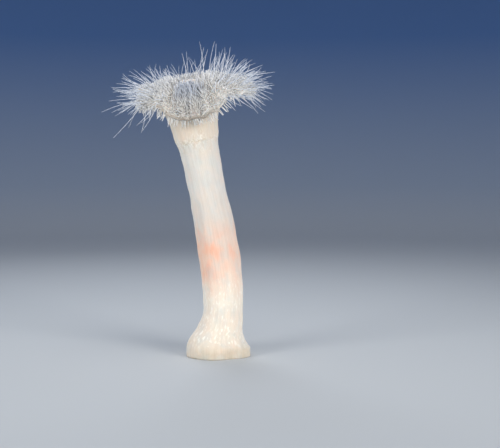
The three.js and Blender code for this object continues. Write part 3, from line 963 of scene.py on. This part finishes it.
def tentacle_flesh():
    """The same flesh drawn out into thin tubes.  The short ones are milky, and whitest at the tips,
    where the stinging cells are packed; their roots are painted darker, as the shade among them.
    The long ones are clearer, so they look blue grey, from the water inside them and behind them."""
    material, tree = new_material("clear_flesh")
    reach = add(tree, "Attribute", attribute_name="reach").outputs["Fac"]
    tint = add(tree, "Attribute", attribute_name="tint").outputs["Fac"]
    clear = add(tree, "Attribute", attribute_name="clear").outputs["Fac"]

    def from_root(*codes):
        """Colours from the root to the tip."""
        stops = [(place, srgb(code)) for place, code in zip((0, 0.25, 0.6, 0.9, 1), codes)]
        return add(tree, "ValToRGB", {"Fac": reach}, stops=stops).outputs["Color"]

    # The milky ones are painted darker towards the root, as the shade down among the close-set
    # tentacles.
    white = from_root("cfc6ba", "e7e2d9", "eceae6", "efeeeb", "f4f3ef")
    glassy = from_root("dadad8", "c9d0da", "b2bfd6", "adbbd3", "c2cde1")
    inputs = {0: clear, MIX_A: white, MIX_B: glassy}
    colour = add(tree, "Mix", inputs, data_type="RGBA").outputs[MIX_RESULT]
    inputs = {"Value": tint, "To Min": 0.92, "To Max": 1.06}
    shade = add(tree, "MapRange", inputs).outputs[0]
    inputs = {"Color": colour, "Value": shade}
    colour = add(tree, "HueSaturation", inputs).outputs["Color"]

    # A grain of 0.6 mm.
    place = add(tree, "TexCoord").outputs["Object"]
    inputs = {"Vector": place, "Scale": 1.8 / TO_METRES, "Detail": 2}
    grain = add(tree, "TexNoise", inputs).outputs["Fac"]
    inputs = {"Strength": 0.3, "Distance": 0.1 * TO_METRES, "Height": grain}
    bump = add(tree, "Bump", inputs).outputs["Normal"]
    surface = {
        "Base Color": colour,
        "Roughness": 0.55,
        "Specular IOR Level": 0.3,
        "IOR": FLESH_IOR,
        "Subsurface Weight": 0.9,
        "Subsurface Radius": (1.0, 0.95, 0.95),
        "Subsurface Scale": 2 * TO_METRES,
        "Normal": bump,
    }
    return finished(material, surface)


def lip_flesh():
    """The thick pleated flesh of the lips: cream on the pleats, and peach where they go in."""
    material, tree = new_material("cream_flesh")
    depth = add(tree, "Attribute", attribute_name="depth").outputs["Fac"]
    stops = [
        (0.0, srgb("e6ddd3")),
        (0.25, srgb("ede6dd")),
        (0.5, srgb("f1ede6")),
        (0.75, srgb("e6dacf")),
        (1.0, srgb("b98d74")),
    ]
    colour = add(tree, "ValToRGB", {"Fac": depth}, stops=stops).outputs["Color"]

    # A grain of 1.1 mm.
    place = add(tree, "TexCoord").outputs["Object"]
    inputs = {"Vector": place, "Scale": 0.9 / TO_METRES, "Detail": 3}
    grain = add(tree, "TexNoise", inputs).outputs["Fac"]
    inputs = {0: grain, MIX_A: colour, MIX_B: srgb("f0e4d8")}
    colour = add(tree, "Mix", inputs, data_type="RGBA", blend_type="MULTIPLY").outputs[MIX_RESULT]
    inputs = {"Strength": 0.3, "Distance": 0.2 * TO_METRES, "Height": grain}
    bump = add(tree, "Bump", inputs).outputs["Normal"]
    surface = {
        "Base Color": colour,
        "Roughness": 0.42,
        "IOR": FLESH_IOR,
        "Subsurface Weight": 0.6,
        "Subsurface Radius": (1.0, 0.8, 0.65),
        "Subsurface Scale": 1.5 * TO_METRES,
        "Normal": bump,
    }
    return finished(material, surface)


# ---------------------------------------------------------------- studio

STUDIO_RADIUS = 1300
STUDIO_CURVE = 500  # the radius of the sweep from floor to wall
STUDIO_HEIGHT = 1700
CURVE_STEPS, STUDIO_AROUND = 10, 64


def studio_paint():
    """Matt paint, pale on the floor and a quiet blue on the wall, so that a white animal shows.
    The places on its ramp are heights in metres."""
    material, tree = new_material("studio_paint")
    place = add(tree, "TexCoord").outputs["Object"]
    height = add(tree, "SeparateXYZ", {0: place}).outputs["Z"]
    stops = [
        (0.0, srgb("c2c7ca")),
        (0.06, srgb("a9b6c6")),
        (0.3, srgb("5e82b6")),
        (1.0, srgb("44699f")),
    ]
    colour = add(tree, "ValToRGB", {"Fac": height}, stops=stops).outputs["Color"]
    return finished(material, {"Base Color": colour, "Roughness": 0.9})


def make_studio():
    """A round floor whose edge sweeps up into a wall all the way round."""
    profile = [(0, 0, 0), (STUDIO_RADIUS - STUDIO_CURVE, 0, 0)]
    for i in range(1, CURVE_STEPS + 1):
        turn = math.pi / 2 * i / CURVE_STEPS
        out = STUDIO_RADIUS - STUDIO_CURVE * (1 - math.sin(turn))
        profile.append((out, 0, STUDIO_CURVE * (1 - math.cos(turn))))
    profile.append((STUDIO_RADIUS, 0, STUDIO_HEIGHT))
    bm = spun(profile, STUDIO_AROUND)
    bmesh.ops.remove_doubles(bm, verts=bm.verts, dist=WELD)
    bmesh.ops.recalc_face_normals(bm, faces=bm.faces)
    return new_piece("studio", bm, studio_paint())


LAMP_SPREAD = math.radians(80)
LAMP_TARGET = Vector((-10, 0, 110))
LAMPS = [  # name, place, size, watts and colour
    ("key", (640, -640, 265), 460, 1.5, "fffaf4"),
    ("fill", (-640, -560, 265), 460, 1.15, "fffcf7"),
    ("back", (-160, 620, 560), 480, 0.55, "f0f4fb"),
    ("top", (60, -260, 820), 480, 0.3, "fffefa"),
]
AIR_COLOUR, AIR_STRENGTH = "e6ebf2", 0.72


def add_lamp(name, place, size, watts, colour):
    """A square soft box, turned to the animal.  A grid on it keeps its light off the floor below
    it."""
    data = bpy.data.lights.new(name, "AREA")
    data.spread = LAMP_SPREAD
    data.size = size * TO_METRES
    data.energy = watts
    data.color = srgb(colour)[:3]
    lamp = bpy.data.objects.new(name, data)
    bpy.context.scene.collection.objects.link(lamp)
    lamp.location = Vector(place) * TO_METRES
    lamp.rotation_mode = "QUATERNION"
    lamp.rotation_quaternion = (LAMP_TARGET - Vector(place)).to_track_quat("-Z", "Y")


def light_studio():
    for lamp in LAMPS:
        add_lamp(*lamp)
    world = bpy.data.worlds.new("studio_air")
    world.use_nodes = True
    tree = world.node_tree
    tree.nodes.clear()
    air = add(tree, "Background", {"Color": srgb(AIR_COLOUR), "Strength": AIR_STRENGTH})
    add(tree, "OutputWorld", {"Surface": air.outputs[0]})
    bpy.context.scene.world = world
    bpy.context.scene.view_settings.view_transform = "Standard"


CAMERA_TARGET = Vector((18.2, 0, 72.6))
CAMERA_DISTANCE = 600
CAMERA_PITCH = math.radians(4)  # below the level
CAMERA_LENS = 78.5
CAMERA_CLIP = (0.01, 10)  # metres


def make_camera():
    data = bpy.data.cameras.new("camera")
    data.lens = CAMERA_LENS
    data.clip_start, data.clip_end = CAMERA_CLIP
    camera = bpy.data.objects.new("camera", data)
    bpy.context.scene.collection.objects.link(camera)
    back = Vector((0, -math.cos(CAMERA_PITCH), math.sin(CAMERA_PITCH))) * CAMERA_DISTANCE
    camera.location = (CAMERA_TARGET + back) * TO_METRES
    camera.rotation_euler = (math.pi / 2 - CAMERA_PITCH, 0, 0)
    bpy.context.scene.camera = camera


# ---------------------------------------------------------------- the animal

make_camera()
light_studio()
make_studio()

sector_nodes = {
    lobe: [f"{lobe}_lobe_{i + 1}" for i in range(count)] for lobe, count in SECTORS.items()
}
column_nodes = ["pedal_disc", "column_lower", "column_middle", "column_upper", "collar"]
all_sectors = [node for nodes in sector_nodes.values() for node in nodes]

skin = make_skin(body_flesh())
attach(skin, "root")
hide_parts(*column_nodes, "capitulum", "oral_disc", *all_sectors)

lips = make_lips(lip_flesh())
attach(lips, "root")
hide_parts("mouth")

template = tentacle_template()
clear_flesh = tentacle_flesh()
for lobe in LOBES:
    tentacles = make_tentacles(lobe, template, clear_flesh)
    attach(tentacles, "root")
    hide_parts(*sector_nodes[lobe])
bpy.data.meshes.remove(template)
